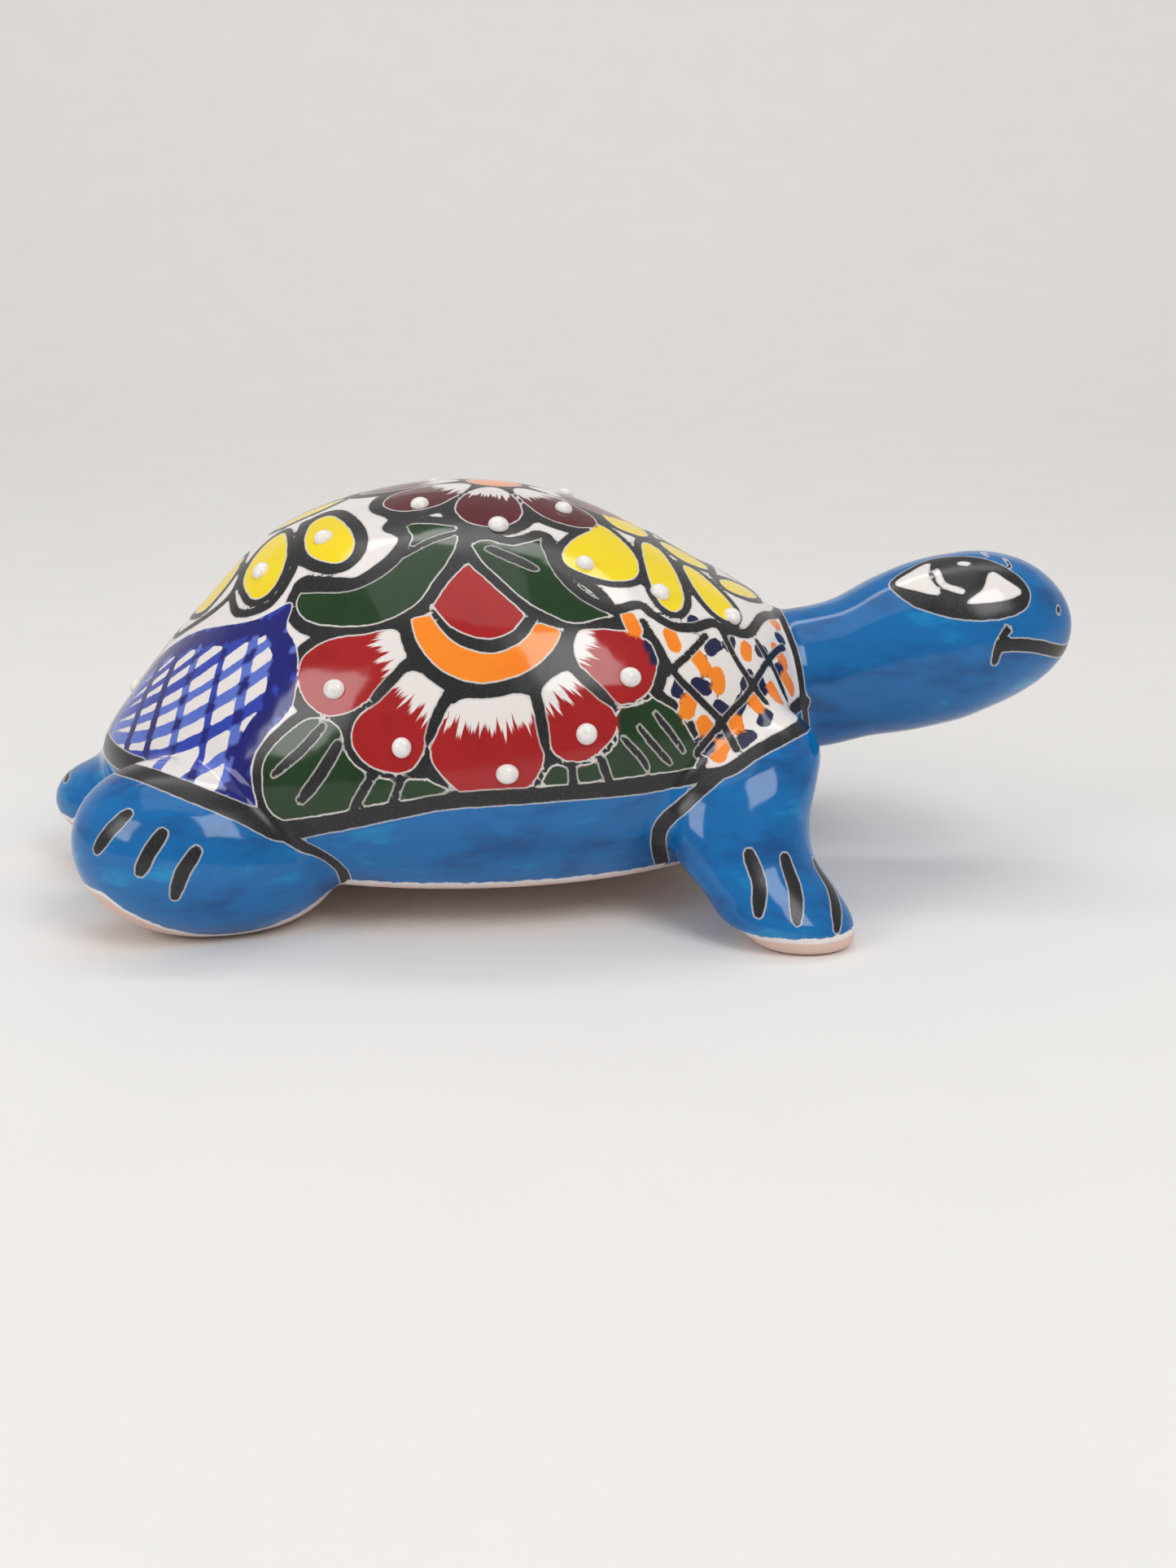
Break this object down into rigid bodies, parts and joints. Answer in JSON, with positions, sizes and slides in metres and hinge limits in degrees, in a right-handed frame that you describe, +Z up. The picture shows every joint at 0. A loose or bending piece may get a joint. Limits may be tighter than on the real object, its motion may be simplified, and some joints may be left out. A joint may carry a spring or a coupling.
{
  "type": "ceramic turtle figurine",
  "caption": "Hollow glazed ceramic turtle figurine with a domed flower-painted shell, raised enamel drops, blue head, legs and tail, standing on flat soles.",
  "frame": {"origin": "on the ground, below the middle of the turtle's length and width", "axes": "+X towards the head, +Y to the turtle's left, +Z up"},
  "size_m": [0.254, 0.1426, 0.0958],
  "materials": {
    "painted_glaze": "glossy clear glaze over hand painted flowers, leaves and petals in dark outlines",
    "blue_glaze": "glossy translucent blue glaze with brushed lighter and darker streaks",
    "white_enamel": "glossy opaque white enamel"
  },
  "bodies": {
    "root": {"carapace": "painted_glaze", "plastron": "blue_glaze", "head_neck": "blue_glaze", "tail": "blue_glaze", "leg_front_right": "blue_glaze", "leg_front_left": "blue_glaze", "leg_rear_right": "blue_glaze", "leg_rear_left": "blue_glaze", "drops_flower_right": "white_enamel", "drops_flower_left": "white_enamel", "drops_front_right": "white_enamel", "drops_front_left": "white_enamel", "drops_rear_right": "white_enamel", "drops_rear_left": "white_enamel", "drops_crown": "white_enamel", "drop_rump": "white_enamel"}
  },
  "joints": []
}
